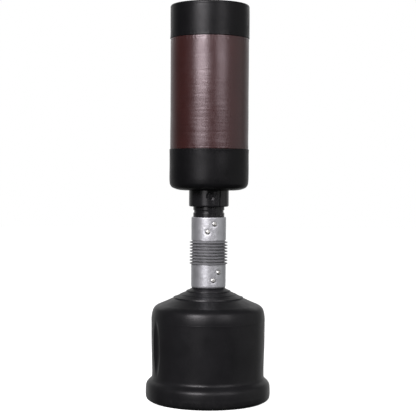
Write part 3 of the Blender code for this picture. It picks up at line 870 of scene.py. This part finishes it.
def make_collar():
    """The moulding under the bag: a sunk arrow in a flat recess, a slit, and two lugs inside."""
    low, high = COLLAR
    r, bore = COLLAR_R, 0.0618
    seat, seat_z = TUBE_R + 0.0003, span_of("core_tube")[0] - 0.0003
    mark_angle, mark_z, mark_r, arrow_depth = 4.0, (low + high) / 2 + 0.0085, 0.0170, 0.0014
    slit_angle, slit_depth, edge, slit_edge = 33.0, 0.0042, 0.0004, 0.0005

    def detailed(R, Z, A):
        outside = R > r - 0.0060
        arc = np.radians(turn_between(A, mark_angle)) * r
        flat = r - (r - 0.0020) / np.cos(arc / r)
        off_mark = np.hypot(arc, Z - mark_z) - mark_r
        pressed = np.clip(flat, 0, None) * smoothstep(edge, -edge, off_mark)
        arrow = smoothstep(edge, -edge, turn_arrow(arc, Z - mark_z))
        pressed = pressed + arrow_depth * arrow
        arc = np.radians(turn_between(A, slit_angle)) * r
        wide = box_distance(arc, Z, -0.0036, 0.0036, low + 0.034, high + 0.02, 0.001)
        thin = box_distance(arc, Z, -0.0018, 0.0018, low - 0.02, high, 0.0005)
        pressed = pressed + slit_depth * smoothstep(slit_edge, -slit_edge, np.minimum(wide, thin))
        return R - pressed * outside, Z

    outline = rounded([(r, high, 0.0004), (r, low + 0.0005, 0.0065), (r - 0.0105, low, 0.0015),
                       (bore, low, 0.0008), (bore, seat_z, 0), (seat, seat_z, 0),
                       (seat, high, 0)], 7)
    angles = denser(denser(even_angles(1.5), mark_angle, 16, 0.4), slit_angle, 5, 0.4)
    collar = lathe("collar_body", refined(outline, 0.0008, True), angles, detailed)
    dressed(collar, POST_PLASTIC, "bag", ["collar"])
    root, tip = bore + 0.001, 0.0586
    section = ((root, 0.004), (root, -0.004), (tip, -0.0032), (tip, 0.0032))
    for number, half in enumerate((0, 180), 1):
        lug_end, lug_width = 177 + half, 14
        steps = [lug_end - lug_width * i / 12 for i in range(13)]
        rows = [[(*around(radius, a), TRACK + z) for a in steps] for radius, z in section]
        block = np.array(rows)
        ends = np.repeat(block.mean(0)[None, [0, -1]], 4, 0)
        block = np.concatenate([ends[:, :1], block, ends[:, 1:]], 1)
        lug = grid_mesh(f"collar_lug_{number}", block, wrap_rows=True, wrap_columns=False)
        dressed(lug, POST_PLASTIC, "bag")


# ---------------- bag

SKIN = 0.002
BACK_SEAM = 180.0
SEAM_FOLD = 0.0078  # from a band's edge to the panel's topstitching


def back_seam(A, r):
    """How deep the upright seam at the back lies at each point."""
    away = np.abs(np.radians(turn_between(A, BACK_SEAM))) * r
    groove = 0.0014 * bell(away, 0.0016)
    pillow = 0.0005 * bell(away - 0.006, 0.004)
    return groove - pillow


def panel_shape():
    """The brown panel: drawn in at its seams, with soft ripples over the foam."""
    low, high = PANEL
    broad = waves(51, 16, 5, 0.16)
    creases = waves(52, 30, 7, 0.011)
    puckers = waves(53, 18, 90, 0.05)

    def shape(R, Z, A):
        from_edge = np.minimum(Z - low, high - Z)
        lower_half = 1 - smoothstep(low + 0.12, low + 0.30, Z)
        ripple = 0.00040 * broad(A, Z) + (0.00004 + 0.00004 * lower_half) * creases(A, Z)
        ripple = ripple * smoothstep(0.0, 0.03, from_edge)
        gathered = 0.00028 * puckers(A, Z) * bell(from_edge - 0.010, 0.009)
        fold = 0.00022 * bell(from_edge - SEAM_FOLD, 0.0016)
        tuck = 0.0003 * (1 - smoothstep(0.0, 0.0030, from_edge))
        return R - 0.0003 + ripple + gathered - fold - tuck - back_seam(A, PANEL_R), Z

    return shape


def band_shape(low, high, hem_at_top):
    """A black band: a folded hem at its seam, soft ripples, and a seam at the back."""
    broad = waves(61 if hem_at_top else 71, 14, 5, 0.12)
    puckers = waves(62 if hem_at_top else 72, 18, 80, 0.04)
    hem = high if hem_at_top else low

    def shape(R, Z, A):
        from_hem = np.abs(Z - hem)
        side = R > min(LOW_BAND_R, HIGH_BAND_R) - 0.012
        ripple = 0.00045 * broad(A, Z) * smoothstep(0.0, 0.02, from_hem)
        gathered = 0.00022 * puckers(A, Z) * bell(from_hem - 0.006, 0.010)
        roll = 0.0004 * bell(from_hem - 0.0026, 0.0022)
        return R + (ripple + gathered + roll - 0.0001 - back_seam(A, R)) * side, Z

    return shape


STITCH_THREAD, STITCH_COVER = 0.00042, 0.72  # radius, and the part of the pitch it covers


def add_thread(build, path, radius, sides=6):
    """Adds one closed thread along a path to a bmesh."""
    along = unit(np.gradient(path, axis=0))
    side = unit(np.cross(along, unit(path * (1, 1, 0))))
    outward = np.cross(side, along)
    taper = np.sin(np.linspace(0.12, np.pi - 0.12, len(path))) ** 0.35
    rings = []
    for point, s, o, t in zip(path, side, outward, taper):
        rings.append([build.verts.new(p) for p in ring(point, radius * t, s, o, sides)])
    for first, second in zip(rings, rings[1:]):
        for k in range(sides):
            build.faces.new((first[k], first[(k + 1) % sides], second[(k + 1) % sides], second[k]))
    build.faces.new(rings[0])
    build.faces.new(rings[-1])


def stitches(name, places, pitch, upright, shape):
    """Stitches on the panel, each a short thread dipping into the cloth.

    places holds each stitch's (angle, height), and upright says which way the row runs.
    """
    along = np.linspace(-0.5, 0.5, 7)
    lift = STITCH_THREAD * 1.1 * np.cos(along * np.pi) - 0.0002
    run, still = along * (pitch * STITCH_COVER), np.zeros(7)
    turns, rises = (still, run) if upright else (np.degrees(run / PANEL_R), still)
    build = bmesh.new()
    for angle, height in places:
        angles = angle + turns
        r, z = shape(np.full((1, 7), PANEL_R), (height + rises)[None], angles[None])
        path = [(*around(rr + up, aa), zz) for rr, up, aa, zz in zip(r[0], lift, angles, z[0])]
        add_thread(build, np.array(path), STITCH_THREAD)
    dressed(finish_mesh(name, build, 60), BROWN_THREAD, "bag")


SKIN_ANGLES = denser(even_angles(1.5), BACK_SEAM, 6, 0.4)  # finer at the back seam


def make_panel():
    low, high = PANEL
    shape = panel_shape()
    corners = rounded([(PANEL_R, high, 0.0008), (PANEL_R, low, 0.0008), (PANEL_R - SKIN, low, 0),
                       (PANEL_R - SKIN, high, 0)], 3)
    outline = refined(corners[:6], 0.0021) + refined(corners[6:], 0.02)
    piece = lathe("bag_middle", outline, SKIN_ANGLES, shape, sharp=50)
    dressed(piece, BROWN_VINYL, "bag", ["cover_middle"])

    seam_pitch = 0.0046
    count = round(2 * math.pi * PANEL_R / seam_pitch)
    middles = (np.arange(count) + 0.5) * 360 / count
    for name, height in (("stitching_panel_top", high - SEAM_FOLD),
                         ("stitching_panel_bottom", low + SEAM_FOLD)):
        stitches(name, [(angle, height) for angle in middles], seam_pitch, False, shape)

    back_pitch, foot, length = 0.0050, low + 0.012, (high - 0.012) - (low + 0.012)
    count = int(length / back_pitch)
    heights = [foot + (i + 0.5) * length / count for i in range(count)]
    for name, side in (("stitching_back_left", 0.0052), ("stitching_back_right", -0.0052)):
        angle = BACK_SEAM + math.degrees(side / PANEL_R)
        stitches(name, [(angle, height) for height in heights], back_pitch, True, shape)


def make_top_band():
    low, high = HIGH_BAND
    r = HIGH_BAND_R
    ring_r = r - 0.0085  # the groove where the lid is sewn in
    seam_below, seam_depth, seam_width, pucker_count = 0.0155, 0.0006, 0.0012, 88
    side = band_shape(low, high, hem_at_top=False)
    lid_sag = waves(81, 14, 7, 0.1)

    def shape(R, Z, A):
        R, Z = side(R, Z, A)
        # the lid is sewn in just inside the corner, and it sags a little towards its middle
        on_lid = smoothstep(r - 0.006, r - 0.016, R) * (Z > high - 0.006)
        sag = 0.0004 * smoothstep(r - 0.02, 0.03, R) + 0.0003 * lid_sag(A, R)
        groove = 0.0010 * bell(R - ring_r, 0.0014) * (Z > high - 0.004)
        seam = seam_depth * bell(Z - high + seam_below, seam_width)
        R = R - seam * (R > r - 0.0015)
        pucker = 0.00025 * np.sin(np.radians(A) * pucker_count) * bell(R - ring_r, 0.006)
        pucker = pucker * (Z > high - 0.01)
        return R, Z - 0.0006 * smoothstep(r, r - 0.006, R) - sag * on_lid - groove + pucker

    outer = rounded([(0, high, 0), (r, high, 0.0105), (r, low, 0.0016)], 9)
    inner = rounded([(r - SKIN, low, 0), (r - SKIN, high - SKIN, 0.0085), (0, high - SKIN, 0)], 5)
    outline = refined(outer, 0.0021) + refined(inner, 0.006)
    piece = lathe("bag_top", outline, SKIN_ANGLES, shape, closed=False, sharp=50)
    dressed(piece, BLACK_VINYL, "bag", ["cover_top"])
    piece.data.materials.append(LID_CLOTH)
    for face in piece.data.polygons:
        x, y, z = face.center
        if z > high - 0.004 and math.hypot(x, y) < ring_r:
            face.material_index = 1


def make_bottom_band():
    low, high = LOW_BAND
    r, opening = LOW_BAND_R, TUBE_R + 0.001
    side = band_shape(low, high, hem_at_top=True)
    gathers = waves(91, 10, 46, 0.03)

    def shape(R, Z, A):
        R, Z = side(R, Z, A)
        below = smoothstep(r - 0.012, r - 0.030, R) * smoothstep(opening, opening + 0.02, R)
        return R, Z + 0.0005 * gathers(A, Z) * below * (Z < low + 0.02)

    side_and_corner = [(r, high - 0.02), (r, low + 0.060), (r - 0.0006, low + 0.036),
                       (r - 0.0030, low + 0.0215), (r - 0.0100, low + 0.0115),
                       (r - 0.0230, low + 0.0055), (r - 0.0400, low + 0.0014), (r - 0.0560, low)]
    hem = [(r - SKIN / 2, high), (r - 0.0004, high - 0.0005), (r, high - 0.0018)]
    outer = hem + flowing(side_and_corner, 0.0025) + [(opening, low)]
    inset = SKIN * 0.8
    inner = [(q - inset, z + inset) for q, z in reversed(outer[4:-2:3])]
    inner = [(opening, low + SKIN)] + inner + [(r - SKIN, high)]
    piece = lathe("bag_bottom", refined(outer, 0.0025) + inner, SKIN_ANGLES, shape, sharp=50)
    dressed(piece, BLACK_VINYL, "bag", ["cover_bottom"])


# ---------------- pieces kept from the frame

def dress_frame_nodes():
    """Gives each CAD node that stays its material. All of them are inside the shells."""
    finishes = {"water_ballast": WATER, "fill_cap_seal": SEAL_RUBBER, "lower_spring_cup": CUP,
                "upper_spring_cup": CUP, "core_tube": TUBE_PLASTIC, "core_top_cap": TUBE_PLASTIC,
                "bag_bottom_plate": BOARD, "foam_body": FOAM, "foam_top_pad": FOAM}
    for number in range(1, 5):
        for node in (f"lower_nut_{number}", f"upper_nut_{number}", f"collar_screw_{number}"):
            finishes[node] = NUT
    for node, finish in finishes.items():
        for slot in frame["nodes"][node].material_slots:
            slot.material = finish


# ---------------- stage, light and camera

EYE = (-0.0038, -4.4626, 0.8722)
LENS = 98.1
SHIFT = -0.048
DOWN, ROLL = 0.52, 0.37  # degrees
LIGHT_DISTANCE = 5.2
WHITE = (1, 1, 1, 1)


def make_floor():
    bpy.ops.mesh.primitive_plane_add(size=30, location=(0, 0, -0.0006))
    floor = bpy.context.object
    floor.name = "floor"
    look = Look("pale_floor")
    look.surface(Base_Color=look.blended(look.noise(3), (0.60, 0.60, 0.60), (0.66, 0.66, 0.66)),
                 Roughness=0.9, Specular_IOR_Level=0.1, Emission_Color=WHITE,
                 Emission_Strength=0.95)
    floor.data.materials.append(look.material)
    # fitted to the photograph: the floor's glow lit the undersides and the sleeves too much
    floor.visible_glossy = False
    floor.visible_diffuse = False


def make_world():
    """White behind the object and a dim room in front of it. The camera sees plain white."""
    world = bpy.data.worlds.new("studio")
    bpy.context.scene.world = world
    world.use_nodes = True
    world.node_tree.nodes.clear()
    tree = NodeTree(world.node_tree)
    direction = tree.add("TexCoord", {}).outputs["Generated"]
    towards = tree.add("SeparateXYZ", {"Vector": direction}).outputs
    behind = tree.ranged(towards["Y"], 0, 0.64, 0.30, 0.98)
    not_high = tree.ranged(towards["Z"], 1, 0, 0.15, 0.75)
    not_deep = tree.ranged(towards["Z"], 0, 1, -0.60, -0.20)
    level = tree.calculated("MULTIPLY", not_high, not_deep)
    room_glow = 0.06
    glow = tree.calculated("MULTIPLY_ADD", behind, level, room_glow)
    lit = tree.add("Background", {"Color": WHITE, "Strength": glow})
    seen = tree.add("Background", {"Color": WHITE})
    to_camera = tree.add("LightPath", {}).outputs["Is Camera Ray"]
    mix = tree.add("MixShader", {"Fac": to_camera, 1: lit.outputs[0], 2: seen.outputs[0]})
    tree.add("OutputWorld", {"Surface": mix.outputs[0]})


def softbox(name, angle, middle_z, width, height, radiance, colour=(1, 1, 1)):
    """A rectangular light that faces the object's axis, at an angle in degrees from the front."""
    data = bpy.data.lights.new(name, "AREA")
    data.shape = "RECTANGLE"
    data.size, data.size_y = width, height
    data.energy = radiance * math.pi * width * height
    data.color = colour
    light = bpy.data.objects.new(name, data)
    bpy.context.scene.collection.objects.link(light)
    light.location = (*around(LIGHT_DISTANCE, angle), middle_z)
    towards = Vector((0, 0, middle_z)) - light.location
    light.rotation_euler = towards.to_track_quat("-Z", "Y").to_euler()
    light.visible_camera = False


def make_lights():
    softbox("key", -23.5, 3.40, 2.8, 2.5, 20.0, (1.0, 0.96, 1.0))
    softbox("key_low", -24, 0.65, 2.2, 1.7, 1.9, (1.0, 0.97, 1.0))
    softbox("second", 35, 3.50, 2.5, 4.2, 4.0, (1.0, 0.96, 1.0))
    softbox("side", 82, 1.30, 5.6, 5.2, 0.42)
    softbox("back_left", -152, 3.20, 2.5, 2.0, 0.6)
    softbox("back_right", 152, 3.20, 2.5, 2.0, 0.6)


def make_camera():
    data = bpy.data.cameras.new("camera")
    data.lens = LENS
    data.sensor_width = 36
    data.shift_y = SHIFT
    camera = bpy.data.objects.new("camera", data)
    bpy.context.scene.collection.objects.link(camera)
    tilt = Matrix.Rotation(math.radians(90 - DOWN), 4, "X")
    roll = Matrix.Rotation(math.radians(ROLL), 4, "Z")
    camera.matrix_world = Matrix.Translation(EYE) @ tilt @ roll
    bpy.context.scene.camera = camera
    bpy.context.scene.view_settings.view_transform = "Standard"


# ---------------- the whole scene

make_camera()
make_floor()
make_world()
make_lights()
make_base()
make_fill_cap()
make_sleeves()
make_bolts()
neck_heights = make_bellows()
make_spring()
bend_neck(*neck_heights)
make_post()
make_collar()
make_panel()
make_top_band()
make_bottom_band()
dress_frame_nodes()
